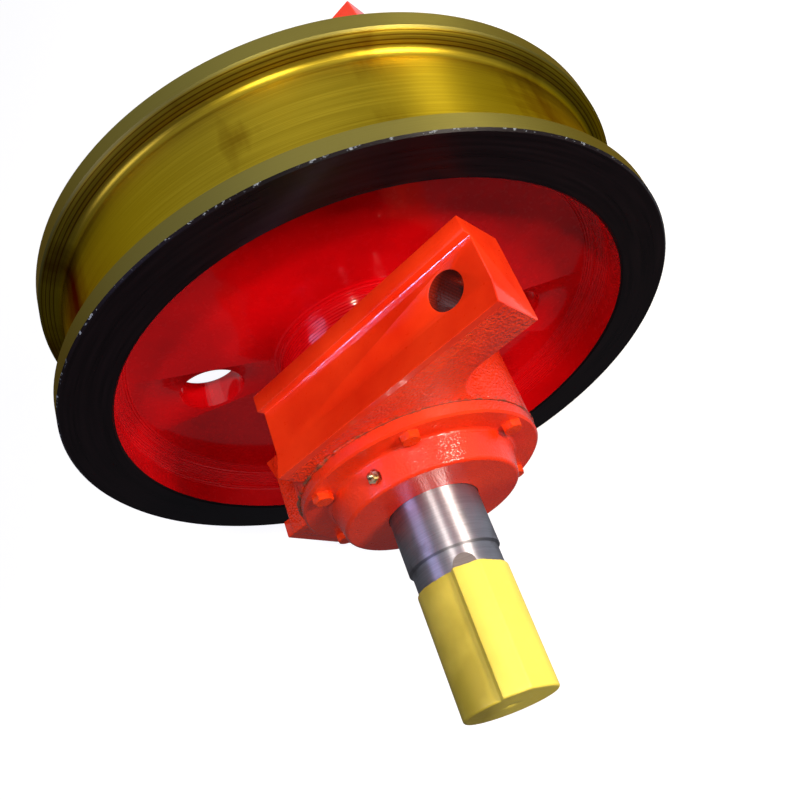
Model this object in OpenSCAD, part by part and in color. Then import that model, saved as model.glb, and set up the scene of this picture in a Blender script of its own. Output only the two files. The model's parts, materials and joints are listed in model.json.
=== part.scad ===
// Crane travelling wheel set: a double flanged wheel on a keyed axle, carried by two angular bearing boxes.
// The axle lies along Y with the drive end towards -Y, and the wheel's centre is the origin.

/* [Wheel] */
// Diameter of the running tread
tread_d = 600; // [570:1:612]
// Diameter over the flanges
flange_d = 640; // [628:1:690]
// Width of the rim over both flanges
rim_w = 150; // [140:1:170]
// Thickness of a flange at its tip
flange_tip_w = 21; // [14:1:24]
// Thickness of a flange at its root
flange_root_w = 25; // [20:1:32]
// Fillet between flange and tread
tread_fillet_r = 9; // [4:1:12]
// Inner diameter of the rim
rim_bore_d = 540; // [500:1:556]
// Thickness of the web
web_t = 35; // [30:1:80]
// Distance from the wheel's middle to the web's face on the drive side
web_face = 27; // [18:1:40]
// Fillet between web and rim
rim_fillet_r = 20; // [8:1:24]
// Diameter of the hub
hub_d = 192; // [180:1:230]
// Length of the hub
hub_len = 150; // [130:1:156]
// Fillet between web and hub
hub_fillet_r = 11; // [6:1:20]
// Diameter of the two holes through the web
web_hole_d = 66; // [30:1:80]
// Diameter of the circle that the web holes lie on
web_hole_pcd = 344; // [330:1:370]
// Turn of the first web hole, in degrees
web_hole_turn = 140; // [0:1:359]
// Turn from the first web hole to the second, in degrees
web_hole_apart = 170; // [150:1:210]
// Chamfer of the web holes
web_hole_chamfer = 2; // [1:0.5:5]
// Chamfer on the turned edges of the rim
rim_chamfer = 2; // [1:0.5:3]

/* [Axle] */
// Diameter where the wheel is pressed on
wheel_seat_d = 110; // [106:1:118]
// Diameter where the bearings sit
bearing_seat_d = 100; // [97:1:102]
// Diameter of the ground journal in the drive side cover
journal_d = 90; // [88:1:94]
// Diameter of the drive end
drive_d = 85; // [80:1:86]
// Distance from the wheel's centre to the shoulder of the drive end
drive_shoulder = 289; // [280:1:310]
// Length of the drive end
drive_len = 134; // [110:1:170]
// Chamfer on the axle's edges
axle_chamfer = 2; // [1:0.5:3]
// Thread that stands past the lock nut
thread_run = 3; // [2:0.5:6]
// Diameter of the centre drilling in the axle's ends
centre_d = 8; // [5:0.5:12]

/* [Keys] */
// Width of the key in the hub
wheel_key_w = 28; // [22:1:32]
// Height of the key in the hub
wheel_key_h = 16; // [14:1:18]
// Length of the key in the hub
wheel_key_len = 126; // [100:1:128]
// Width of the key in the drive end
drive_key_w = 22; // [16:1:25]
// Height of the key in the drive end
drive_key_h = 14; // [12:0.5:16]
// Distance from the shoulder to the round end of the drive key
drive_key_start = 9.5; // [6:0.5:16]
// Turn of the drive key about the axle, in degrees
drive_key_turn = 49; // [0:1:359]

/* [Bearing] */
// Outer diameter of the bearing
bearing_od = 180; // [178:1:184]
// Width of the bearing
bearing_w = 46; // [44:1:50]
// Wall of the outer ring at its middle
outer_ring_wall = 9.5; // [9:0.5:11]
// Diameter of a roller at its middle
roller_d = 20; // [18:0.5:20]
// Length of a roller
roller_len = 17; // [14:0.5:18]
// Rollers in each row
roller_n = 17; // [10:1:17]
// Distance of a row of rollers from the bearing's middle
row_offset = 12; // [11:0.25:12.5]
// Thickness of the cage
cage_t = 7; // [5:0.5:8]

/* [Bearing box] */
// Distance from the wheel's centre to the bearing's middle
box_at = 145; // [140:1:160]
// Length of the box along the axle
box_w = 90; // [82:1:100]
// Diameter of the round body
body_d = 242; // [238:1:252]
// Distance from the axle to the outer face of a leg
seat_dist = 145; // [138:1:160]
// Thickness of a leg
leg_t = 57.5; // [45:0.5:62]
// Distance from the axle to the free end of a leg
leg_reach = 212; // [200:1:240]
// Distance from the axle to the short end of a leg
leg_tail = 50; // [30:1:70]
// Fillet between a leg and the round body
leg_fillet_r = 38; // [20:1:44]
// Width of the raised ledge beside the trough
ledge_w = 18; // [12:1:24]
// Depth of the trough
trough_depth = 8; // [4:0.5:12]
// Width of the trough's flat floor
trough_floor = 47; // [40:1:52]
// Width of the bevel that closes the trough
trough_bevel = 25; // [6:1:28]
// Diameter of the bolt hole in a leg
seat_hole_d = 35; // [22:1:36]
// Distance from the axle to the bolt hole
seat_hole_at = 172; // [170:1:182]

/* [Covers] */
// Diameter of the cover flanges
cover_d = 242; // [240:1:250]
// Thickness of the outer cover's flange
cover_t = 12; // [10:0.5:16]
// Diameter of the boss at its base
boss_base_d = 188; // [182:1:189]
// Diameter of the boss at its top
boss_top_d = 178; // [170:1:181]
// Height of the boss
boss_h = 29; // [26:1:40]
// Rounding at the boss's base and edge
boss_round = 4; // [2:0.5:5]
// Thickness of the wheel side cover's flange
inner_cover_t = 10; // [8:0.5:11]
// Wall of the collar that reaches into the box
collar_wall = 12; // [8:0.5:13]
// Wall that carries the wheel side felt, past the flange
felt_wall = 6; // [5:0.5:10]
// Thickness of the paper gaskets
gasket_t = 1; // [0.5:0.25:2]
// Width of the felt seals
felt_w = 8; // [5:0.5:9]
// Height of the felt seals
felt_h = 7; // [5:0.5:8]

/* [Fasteners] */
// Bolts in each cover
bolt_n = 6; // [4:1:8]
// Diameter of the circle that the bolts lie on
bolt_pcd = 215; // [214:1:217]
// Thread diameter of the bolts
bolt_d = 10; // [8:1:12]
// Width of a bolt head across its flats
bolt_af = 17; // [13:0.5:18]
// Height of a bolt head
bolt_head_h = 7; // [5:0.5:9]
// Length of bolt in the box
bolt_grip = 20; // [14:1:24]
// Turn of the first bolt, in degrees
bolt_turn = 56; // [0:1:359]
// Diameter of the lock nuts
nut_d = 130; // [120:1:136]
// Thickness of the lock nuts
nut_t = 18; // [14:1:20]
// Slots in a lock nut
nut_slots = 4; // [4:1:6]
// Thickness of the lock washers
washer_t = 2; // [1.5:0.25:3]
// Outer diameter of the spacer sleeves
spacer_d = 124; // [114:1:130]
// Turn of the grease nipples, in degrees
nipple_turn = 83; // [0:1:359]

/* [Shaft covering] */
// Thickness of the covering on the drive end
cap_t = 2; // [1:0.25:4]
// Distance from the shoulder to the edge of the covering
cap_start = 20; // [16:1:30]

/* [Clearances] */
// Gap around pieces that sit in one another
seat_gap = 0.03; // [0.02:0.01:0.05]
// Gap between turning and standing pieces
run_gap = 0.35; // [0.3:0.05:0.6]
// Room between a lock nut and the cover
nut_room = 14; // [8:1:18]
// Gap around a bolt in a cover
bolt_gap = 0.5; // [0.3:0.1:0.8]

/* [Hidden] */
$fn = 96;
eps = 1;
tread_r = tread_d / 2;
flange_r = flange_d / 2;
rim_half = rim_w / 2;
rim_r = rim_bore_d / 2;
web_back = web_t - web_face;
hub_r = hub_d / 2;
hub_half = hub_len / 2;
wheel_seat_r = wheel_seat_d / 2;
bearing_seat_r = bearing_seat_d / 2;
journal_r = journal_d / 2;
drive_r = drive_d / 2;
drive_end = drive_shoulder + drive_len;
bearing_in = box_at - bearing_w / 2;
bearing_out = box_at + bearing_w / 2;
box_in = box_at - box_w / 2;
box_out = box_at + box_w / 2;
washer_end = bearing_out + washer_t;
nut_end = washer_end + nut_t;
thread_end = nut_end + thread_run;
nut_r = nut_d / 2;
spacer_r = spacer_d / 2;
bearing_r = bearing_od / 2;
body_r = body_d / 2;
cover_r = cover_d / 2;
bolt_r = bolt_d / 2;
// Keys sink by a little over half their height, as keyways are cut
key_sink = 0.62;
wheel_key_base = wheel_seat_r - wheel_key_h * key_sink;
drive_key_base = drive_r - drive_key_h * key_sink;
key_top_gap = 0.4;
drive_key_from = drive_shoulder + drive_key_start;
// Tongue of a lock washer and its slot in the thread
tongue_w = 10;
tongue_h = 4;
washer_tabs = 13;
washer_rim_r = nut_r - 3;
washer_tab_r = nut_r + 4;
// Bearing: the outer raceway is a sphere about the bearing's middle
race_r = bearing_r - outer_ring_wall;
roller_dist = race_r - run_gap - roller_d / 2;
row_tilt = asin(row_offset / roller_dist);
cage_mid_r = roller_dist * cos(row_tilt);
pocket_gap = 0.4;
race_steps = 6;
// Collars of the covers stop at the outer ring
collar_r = bearing_r - seat_gap;
collar_bore_r = collar_r - collar_wall;
outer_collar = box_out - bearing_out;
inner_collar = bearing_in - box_in;
// Outer cover along the axle
cover_from = box_out + gasket_t;
boss_from = cover_from + cover_t;
boss_to = boss_from + boss_h;
boss_base_r = boss_base_d / 2;
boss_top_r = boss_top_d / 2;
hollow_to = nut_end + nut_room;
felt_at = (hollow_to + boss_to) / 2;
cover_edge = 2;
// Wheel side cover along the axle
inner_from = box_in - gasket_t - inner_cover_t;
inner_wall = inner_cover_t + felt_wall;
inner_felt_at = inner_from + inner_wall / 2;
felt_gap = 0.1;
// Grease nipple halfway up the boss, on a spot face
nipple_at = boss_from + boss_h / 2;
nipple_seat_r = (boss_base_r + boss_top_r) / 2 - 2.5;
nipple_r = 4;
nipple_shank = 9;
nipple_af = 11;
nipple_hex_h = 5;
nipple_neck_r = 3;
nipple_neck_h = 4;
nipple_ball_r = 3.6;
duct_r = 2;
duct_ring_r = (journal_r + collar_bore_r) / 2;
cap_from = drive_shoulder + cap_start;
castred = "orangered";
rimred = "firebrick";
steel = "silver";
zinc = "gainsboro";

// Points of an arc about [x, y]
function arc(x, y, r, from, to, steps = 8) =
    [for (i = [0:steps]) let (a = from + (to - from) * i / steps) [x + r * cos(a), y + r * sin(a)]];
function flip(points) = [for (i = [len(points) - 1:-1:0]) [points[i][0], -points[i][1]]];
// Radius of a barrel roller at distance x from its middle
function barrel_r(x) = roller_d / 2 - race_r + sqrt(race_r * race_r - x * x);
// Point of the inner raceway beside the roller's point x
function race_point(x) =
    let (d = roller_dist - barrel_r(x) - run_gap)
    [d * cos(row_tilt) - x * sin(row_tilt), d * sin(row_tilt) + x * cos(row_tilt)];

// Turns a shape made about Z onto the axle, with Z towards the drive end and Y up
module on_axle() rotate([90, 0, 0]) children();
module flipped() mirror([0, 0, 1]) children();
module turned(points) rotate_extrude() polygon(points);
module ring(r_in, r_out, from, to) {
    difference() {
        translate([0, 0, from]) cylinder(r = r_out, h = to - from);
        translate([0, 0, from - eps]) cylinder(r = r_in, h = to - from + 2 * eps);
    }
}
module around(n, turn = 0) for (i = [0:n - 1]) rotate([0, 0, turn + 360 * i / n]) children();
module bolt_places() around(bolt_n, bolt_turn) translate([bolt_pcd / 2, 0, 0]) children();

// Wheel
function wheel_half(web) = concat(
    [[wheel_seat_r + seat_gap, hub_half - axle_chamfer], [wheel_seat_r + axle_chamfer, hub_half]],
    [[hub_r - axle_chamfer, hub_half], [hub_r, hub_half - axle_chamfer]],
    arc(hub_r + hub_fillet_r, web + hub_fillet_r, hub_fillet_r, 180, 270),
    arc(rim_r - rim_fillet_r, web + rim_fillet_r, rim_fillet_r, 270, 360),
    [[rim_r, rim_half - rim_chamfer], [rim_r + rim_chamfer, rim_half]],
    [[flange_r - rim_chamfer, rim_half], [flange_r, rim_half - rim_chamfer]],
    [[flange_r, rim_half - flange_tip_w + rim_chamfer], [flange_r - rim_chamfer, rim_half - flange_tip_w]],
    arc(tread_r + tread_fillet_r, rim_half - flange_root_w - tread_fillet_r, tread_fillet_r, 90, 180));

module web_hole() {
    wide_d = web_hole_d + 2 * (web_hole_chamfer + eps);
    translate([0, 0, -web_back - eps]) cylinder(d = web_hole_d, h = web_t + 2 * eps);
    translate([0, 0, web_face - web_hole_chamfer])
        cylinder(d1 = web_hole_d, d2 = wide_d, h = web_hole_chamfer + eps);
    translate([0, 0, -web_back - eps]) cylinder(d1 = wide_d, d2 = web_hole_d, h = web_hole_chamfer + eps);
}

module wheel() {
    color(rimred) on_axle() difference() {
        turned(concat(wheel_half(web_face), flip(wheel_half(web_back))));
        for (turn = [web_hole_turn, web_hole_turn + web_hole_apart])
            rotate([0, 0, turn]) translate([web_hole_pcd / 2, 0, 0]) web_hole();
        translate([-wheel_key_w / 2 - seat_gap, 0, -hub_half - eps])
            cube([wheel_key_w + 2 * seat_gap, wheel_key_base + wheel_key_h + key_top_gap, hub_len + 2 * eps]);
    }
}

// Axle and keys
module wheel_key_shape(gap) {
    translate([0, wheel_key_base - gap, 0]) rotate([-90, 0, 0]) linear_extrude(wheel_key_h + 2 * gap) {
        square([wheel_key_w + 2 * gap, wheel_key_len - wheel_key_w], center = true);
        for (end = [-1, 1]) translate([0, end * (wheel_key_len - wheel_key_w) / 2])
            circle(r = wheel_key_w / 2 + gap);
    }
}

module drive_key_shape(gap, end) {
    flat_from = drive_key_from + drive_key_w / 2;
    rotate([0, 0, drive_key_turn - 90]) translate([0, drive_key_base - gap, 0]) {
        translate([-drive_key_w / 2 - gap, 0, flat_from])
            cube([drive_key_w + 2 * gap, drive_key_h + 2 * gap, end - flat_from]);
        translate([0, 0, flat_from]) rotate([-90, 0, 0])
            cylinder(r = drive_key_w / 2 + gap, h = drive_key_h + 2 * gap);
    }
}

module tongue_slot() {
    translate([-tongue_w / 2 - seat_gap, bearing_seat_r - tongue_h, bearing_out])
        cube([tongue_w + 2 * seat_gap, tongue_h + eps, thread_end - bearing_out + eps]);
}

module centre_hole() {
    cylinder(d = centre_d, h = 3 * centre_d, center = true);
    cylinder(d1 = 2 * centre_d + centre_d, d2 = 0, h = 1.5 * centre_d);
}

module axle() {
    c = axle_chamfer;
    color(steel) on_axle() difference() {
        turned([[0, -thread_end], [bearing_seat_r - c, -thread_end], [bearing_seat_r, -thread_end + c],
            [bearing_seat_r, -hub_half], [wheel_seat_r, -hub_half], [wheel_seat_r, hub_half],
            [bearing_seat_r, hub_half], [bearing_seat_r, thread_end - c], [bearing_seat_r - c, thread_end],
            [journal_r, thread_end], [journal_r, drive_shoulder - c / 2], [drive_r, drive_shoulder + c / 2],
            [drive_r, drive_end - c], [drive_r - c, drive_end], [0, drive_end]]);
        wheel_key_shape(seat_gap);
        drive_key_shape(seat_gap, drive_end + eps);
        tongue_slot();
        flipped() tongue_slot();
        translate([0, 0, -thread_end]) centre_hole();
        translate([0, 0, drive_end]) flipped() centre_hole();
    }
}

module wheel_key() color(zinc) on_axle() wheel_key_shape(0);
module drive_key() color(zinc) on_axle() drive_key_shape(0, drive_end);

// Section of the covering: it lies on the key and slopes from it to the shaft on one side
module cap_section() {
    outer_r = drive_r + cap_t;
    edge_x = drive_key_w / 2 + cap_t;
    edge_y = drive_key_base + drive_key_h + cap_t;
    edge_r = norm([edge_x, edge_y]);
    slope_end = atan2(edge_y, edge_x) - acos(outer_r / edge_r);
    circle(r = outer_r);
    polygon([[0, 0], outer_r * [cos(slope_end), sin(slope_end)], [edge_x, edge_y],
        [-edge_x, edge_y], [-edge_x, 0]]);
}

module shaft_cap() {
    cap_len = drive_end + cap_t - cap_from;
    color("gold") on_axle() difference() {
        translate([0, 0, cap_from]) rotate([0, 0, drive_key_turn - 90]) linear_extrude(cap_len) cap_section();
        translate([0, 0, cap_from - eps])
            cylinder(r = drive_r + seat_gap, h = cap_len - cap_t + seat_gap + eps);
        drive_key_shape(seat_gap, drive_end + seat_gap);
        translate([0, 0, drive_end + cap_t / 2]) cylinder(d1 = 0, d2 = centre_d, h = cap_t / 2 + seat_gap);
    }
}

// Angular bearing box, about the middle of its bearing
module trough() {
    floor_from = box_w / 2 - ledge_w;
    bevel_from = floor_from - trough_floor;
    bevel_to = bevel_from - trough_bevel - eps;
    translate([-leg_tail - eps, 0, 0]) rotate([0, 90, 0]) linear_extrude(leg_tail + leg_reach + 2 * eps)
        polygon([[floor_from, seat_dist + 2 * eps], [floor_from, seat_dist - trough_depth],
            [bevel_from, seat_dist - trough_depth], [bevel_to, seat_dist + eps * trough_depth / trough_bevel],
            [bevel_to, seat_dist + 2 * eps]]);
}

module leg() {
    inner = seat_dist - leg_t;
    fillet_y = inner - leg_fillet_r;
    fillet_x = sqrt(pow(body_r + leg_fillet_r, 2) - fillet_y * fillet_y);
    touch = body_r / (body_r + leg_fillet_r);
    difference() {
        translate([0, 0, -box_w / 2]) linear_extrude(box_w) union() {
            translate([-leg_tail, inner]) square([leg_tail + leg_reach, leg_t]);
            polygon([[0, 0], [fillet_x * touch, fillet_y * touch], [fillet_x, inner], [0, inner]]);
        }
        trough();
        translate([fillet_x, fillet_y, 0]) cylinder(r = leg_fillet_r, h = box_w + 2 * eps, center = true);
        translate([seat_hole_at, 0, 0]) rotate([-90, 0, 0]) cylinder(d = seat_hole_d, h = seat_dist + eps);
    }
}

module housing() {
    color(castred) difference() {
        union() {
            translate([0, 0, -box_w / 2]) cylinder(r = body_r, h = box_w);
            leg();
            mirror([1, 1, 0]) mirror([0, 0, 1]) leg();
        }
        cylinder(r = bearing_r, h = box_w + 2 * eps, center = true);
        for (side = [0, 1]) mirror([0, 0, side]) bolt_places()
            translate([0, 0, box_w / 2 - bolt_grip - eps])
                cylinder(r = bolt_r + seat_gap, h = bolt_grip + 2 * eps);
    }
}

// Spherical roller bearing, about its middle
module outer_ring() {
    arc_half = asin(bearing_w / 2 / race_r);
    color(steel) turned(concat(
        [[bearing_r - seat_gap, bearing_w / 2], [bearing_r - seat_gap, -bearing_w / 2]],
        arc(0, 0, race_r, -arc_half, arc_half, 2 * race_steps)));
}

module inner_ring() {
    reach = roller_len / 2 + pocket_gap;
    race = [for (i = [0:race_steps]) race_point(reach * (2 * i / race_steps - 1))];
    lip = race[race_steps][0];
    color(steel) turned(concat(
        [[bearing_seat_r + seat_gap, bearing_w / 2], [bearing_seat_r + seat_gap, -bearing_w / 2]],
        [[lip, -bearing_w / 2]], flip(race), race, [[lip, bearing_w / 2]]));
}

module roller_places() {
    for (row = [-1, 1]) around(roller_n, row * 90 / roller_n)
        rotate([0, -row * row_tilt, 0]) translate([roller_dist, 0, 0]) children();
}

module rollers() {
    half = roller_len / 2;
    color(zinc) roller_places() turned(concat([[0, half], [0, -half]],
        [for (i = [0:race_steps]) let (x = half * (2 * i / race_steps - 1)) [barrel_r(x), x]]));
}

module cage() {
    cage_half = row_offset * cos(row_tilt) + roller_len / 2 - 1;
    color("goldenrod") difference() {
        ring(cage_mid_r - cage_t / 2, cage_mid_r + cage_t / 2, -cage_half, cage_half);
        roller_places()
            cylinder(r = roller_d / 2 + pocket_gap, h = roller_len + 2 * pocket_gap, center = true);
    }
}

// Pieces on the axle beside a bearing
module spacer() color(steel) ring(bearing_seat_r + seat_gap, spacer_r, hub_half, bearing_in);

module lock_washer() {
    color(zinc) {
        ring(bearing_seat_r + seat_gap, washer_rim_r, bearing_out, washer_end);
        translate([-tongue_w / 2, bearing_seat_r - tongue_h + seat_gap, bearing_out])
            cube([tongue_w, tongue_h + bearing_seat_r / 20, washer_t]);
        around(washer_tabs) translate([-tongue_w / 2, washer_rim_r - washer_t, bearing_out])
            cube([tongue_w, washer_tab_r - washer_rim_r + washer_t, washer_t]);
    }
}

module lock_nut() {
    slot_depth = nut_d / 22;
    color(steel) difference() {
        ring(bearing_seat_r + seat_gap, nut_r, washer_end, nut_end);
        around(nut_slots, 45) translate([nut_r - slot_depth, -tongue_w / 2, washer_end - eps])
            cube([2 * slot_depth, tongue_w, nut_t + 2 * eps]);
    }
}

// Covers
boss_outline = concat(
    [[cover_r, cover_from], [cover_r, boss_from - cover_edge], [cover_r - cover_edge, boss_from]],
    arc(boss_base_r + boss_round, boss_from + boss_round, boss_round, 270, 180),
    arc(boss_top_r - boss_round, boss_to - boss_round, boss_round, 0, 90));
collar_outline = [[collar_bore_r, bearing_out], [collar_r, bearing_out], [collar_r, cover_from]];

module bolt_holes(from, to) {
    bolt_places() translate([0, 0, from - eps]) cylinder(r = bolt_r + bolt_gap, h = to - from + 2 * eps);
}

// Spot faces that clear the bolt heads where they come near the boss
module spot_faces() {
    head_r = bolt_af / 2 / cos(30);
    bolt_places() translate([0, 0, boss_from]) cylinder(r = head_r + bolt_gap, h = boss_h + eps);
}

module nipple_place() {
    rotate([0, 0, nipple_turn]) translate([nipple_seat_r, 0, nipple_at]) rotate([0, 90, 0]) children();
}

module grease_duct() {
    nipple_place() {
        cylinder(r = nipple_af / 2 + 2, h = boss_base_r);
        translate([0, 0, -nipple_shank]) cylinder(r = nipple_r + seat_gap, h = nipple_shank + eps);
        translate([0, 0, duct_ring_r - nipple_seat_r]) cylinder(r = duct_r, h = nipple_seat_r - duct_ring_r);
    }
    rotate([0, 0, nipple_turn]) translate([duct_ring_r, 0, hollow_to - eps])
        cylinder(r = duct_r, h = nipple_at - hollow_to + eps);
}

module through_cover() {
    bore = journal_r + 2 * run_gap;
    groove = journal_r + run_gap + felt_h + felt_gap;
    groove_half = felt_w / 2 + felt_gap;
    color(castred) difference() {
        turned(concat(collar_outline, boss_outline, [[bore, boss_to],
            [bore, felt_at + groove_half], [groove, felt_at + groove_half],
            [groove, felt_at - groove_half], [bore, felt_at - groove_half],
            [bore, hollow_to], [collar_bore_r, hollow_to]]));
        bolt_holes(cover_from, boss_from);
        spot_faces();
        grease_duct();
    }
}

module end_cover() {
    color(castred) difference() {
        turned(concat(collar_outline, boss_outline,
            [[0, boss_to], [0, hollow_to], [collar_bore_r, hollow_to]]));
        bolt_holes(cover_from, boss_from);
        spot_faces();
        grease_duct();
    }
}

module cover_gasket() {
    color("dimgray") difference() {
        ring(bearing_r + seat_gap, cover_r, box_out, cover_from);
        bolt_holes(box_out, cover_from);
    }
}

module bolt(grip) {
    rotate([0, 0, 30]) cylinder(d = bolt_af / cos(30), h = bolt_head_h, $fn = 6);
    translate([0, 0, -grip]) cylinder(r = bolt_r, h = grip + eps);
}

module cover_bolts() {
    color(castred) bolt_places() translate([0, 0, boss_from]) bolt(cover_t + gasket_t + bolt_grip);
}

module nipple() {
    color("tan") nipple_place() {
        translate([0, 0, -nipple_shank]) cylinder(r = nipple_r, h = nipple_shank + eps);
        cylinder(d = nipple_af / cos(30), h = nipple_hex_h, $fn = 6);
        cylinder(r = nipple_neck_r, h = nipple_hex_h + nipple_neck_h);
        translate([0, 0, nipple_hex_h + nipple_neck_h]) sphere(r = nipple_ball_r);
    }
}

module inner_cover() {
    bore = spacer_r + 2 * run_gap;
    groove = spacer_r + run_gap + felt_h + felt_gap;
    groove_half = felt_w / 2 + felt_gap;
    wall_to = inner_from + inner_wall;
    flange_to = inner_from + inner_cover_t;
    color(castred) difference() {
        turned([[bore, inner_from], [cover_r - cover_edge, inner_from], [cover_r, inner_from + cover_edge],
            [cover_r, flange_to], [collar_r, flange_to], [collar_r, bearing_in], [collar_bore_r, bearing_in],
            [collar_bore_r, wall_to], [bore, wall_to], [bore, inner_felt_at + groove_half],
            [groove, inner_felt_at + groove_half], [groove, inner_felt_at - groove_half],
            [bore, inner_felt_at - groove_half]]);
        bolt_holes(inner_from, flange_to);
    }
}

module inner_gasket() {
    color("dimgray") difference() {
        ring(bearing_r + seat_gap, cover_r, box_in - gasket_t, box_in);
        bolt_holes(box_in - gasket_t, box_in);
    }
}

module inner_bolts() {
    color(castred) bolt_places() translate([0, 0, inner_from]) flipped()
        bolt(inner_cover_t + gasket_t + bolt_grip);
}

module felt(shaft_r, middle) {
    felt_bore = shaft_r + run_gap;
    color("wheat") ring(felt_bore, felt_bore + felt_h, middle - felt_w / 2, middle + felt_w / 2);
}

// Sub-parts of the drive side
module near_side() on_axle() children();
module near_box() near_side() translate([0, 0, box_at]) children();
module near_housing() near_box() housing();
module near_outer_ring() near_box() outer_ring();
module near_inner_ring() near_box() inner_ring();
module near_rollers() near_box() rollers();
module near_cage() near_box() cage();
module near_spacer() near_side() spacer();
module near_lock_washer() near_side() lock_washer();
module near_lock_nut() near_side() lock_nut();
module near_cover() near_side() through_cover();
module near_cover_gasket() near_side() cover_gasket();
module near_cover_bolts() near_side() cover_bolts();
module near_outer_felt() near_side() felt(journal_r, felt_at);
module near_nipple() near_side() nipple();
module near_inner_cover() near_side() inner_cover();
module near_inner_gasket() near_side() inner_gasket();
module near_inner_bolts() near_side() inner_bolts();
module near_inner_felt() near_side() felt(spacer_r, inner_felt_at);

// Sub-parts of the far side
module far_side() on_axle() flipped() children();
module far_box() far_side() translate([0, 0, box_at]) children();
module far_housing() far_box() housing();
module far_outer_ring() far_box() outer_ring();
module far_inner_ring() far_box() inner_ring();
module far_rollers() far_box() rollers();
module far_cage() far_box() cage();
module far_spacer() far_side() spacer();
module far_lock_washer() far_side() lock_washer();
module far_lock_nut() far_side() lock_nut();
module far_cover() far_side() end_cover();
module far_cover_gasket() far_side() cover_gasket();
module far_cover_bolts() far_side() cover_bolts();
module far_nipple() far_side() nipple();
module far_inner_cover() far_side() inner_cover();
module far_inner_gasket() far_side() inner_gasket();
module far_inner_bolts() far_side() inner_bolts();
module far_inner_felt() far_side() felt(spacer_r, inner_felt_at);

wheel();
axle();
wheel_key();
drive_key();
shaft_cap();
near_housing();
near_outer_ring();
near_inner_ring();
near_rollers();
near_cage();
near_spacer();
near_lock_washer();
near_lock_nut();
near_cover();
near_cover_gasket();
near_cover_bolts();
near_outer_felt();
near_nipple();
near_inner_cover();
near_inner_gasket();
near_inner_bolts();
near_inner_felt();
far_housing();
far_outer_ring();
far_inner_ring();
far_rollers();
far_cage();
far_spacer();
far_lock_washer();
far_lock_nut();
far_cover();
far_cover_gasket();
far_cover_bolts();
far_nipple();
far_inner_cover();
far_inner_gasket();
far_inner_bolts();
far_inner_felt();
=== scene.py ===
"""A crane travelling wheel on its keyed axle, carried by two angular bearing boxes, in a studio."""

from __future__ import annotations

import json
import logging
import math
import random
from dataclasses import dataclass, field
from enum import Enum
from typing import Protocol

import bmesh
import bpy
from mathutils import Matrix, Vector, noise

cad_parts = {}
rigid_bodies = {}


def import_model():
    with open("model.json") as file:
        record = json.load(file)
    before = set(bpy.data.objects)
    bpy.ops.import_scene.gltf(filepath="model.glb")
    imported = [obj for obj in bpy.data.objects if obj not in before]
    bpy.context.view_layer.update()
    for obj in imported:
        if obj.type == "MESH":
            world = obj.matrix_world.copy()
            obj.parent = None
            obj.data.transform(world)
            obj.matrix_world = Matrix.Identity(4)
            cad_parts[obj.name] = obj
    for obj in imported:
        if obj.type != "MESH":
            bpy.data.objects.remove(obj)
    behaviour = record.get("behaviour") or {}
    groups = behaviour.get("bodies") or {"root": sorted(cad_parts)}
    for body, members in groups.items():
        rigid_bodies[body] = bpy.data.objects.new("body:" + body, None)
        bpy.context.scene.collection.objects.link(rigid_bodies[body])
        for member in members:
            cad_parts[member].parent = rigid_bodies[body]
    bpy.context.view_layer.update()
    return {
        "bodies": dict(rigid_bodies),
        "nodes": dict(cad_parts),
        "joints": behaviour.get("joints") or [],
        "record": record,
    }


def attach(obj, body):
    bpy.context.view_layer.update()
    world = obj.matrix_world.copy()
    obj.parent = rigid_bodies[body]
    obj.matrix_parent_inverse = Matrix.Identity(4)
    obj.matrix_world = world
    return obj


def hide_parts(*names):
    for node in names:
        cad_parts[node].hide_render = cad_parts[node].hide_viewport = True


LOG = logging.getLogger("crane_wheel")
MM = 0.001
# Weight of the radius against the distance along the axle, so that rings show on flat and round faces.
OUTWARD_SHARE = 0.73
# Points closer than this are one point.
SAME_SPOT = 2e-6
# How far a tightened bolt head may stand from its neighbours' heading, in radians.
SPANNER_SPREAD = 0.3
Point = tuple[float, float]
Spot = tuple[float, float, float]
Socket = bpy.types.NodeSocket
Tree = bpy.types.NodeTree
Piece = bpy.types.Object
Material = bpy.types.Material
Mesh = bpy.types.Mesh


class Side(Enum):
    """The two ends of the axle: the drive end lies towards -Y."""

    NEAR = "near"
    FAR = "far"

    @property
    def sign(self) -> float:
        """Direction along Y from the wheel to this side."""
        return -1.0 if self is Side.NEAR else 1.0


BOLT_SEEDS = {Side.NEAR: 5, Side.FAR: 8}
BEAD_SEEDS = {Side.NEAR: 2.5, Side.FAR: 6.5}


class Facing(Enum):
    """Which way the bolt heads of a cover look, seen from the wheel."""

    OUTWARD = 1.0
    INWARD = -1.0


class Zone(Enum):
    """Painted zones of the wheel, in the order of its materials."""

    TREAD = 0
    RIM_SIDE = 1
    WEB = 2


def linear(hex_colour: str) -> tuple[float, float, float, float]:
    """Turns an sRGB hex colour into linear RGBA.

    Args:
        hex_colour: Six hex digits with a leading hash.

    Returns:
        Linear red, green, blue and an alpha of 1.
    """
    parts = [int(hex_colour[i : i + 2], 16) / 255 for i in (1, 3, 5)]
    return tuple(p / 12.92 if p <= 0.04045 else ((p + 0.055) / 1.055) ** 2.4 for p in parts) + (1.0,)


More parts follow.
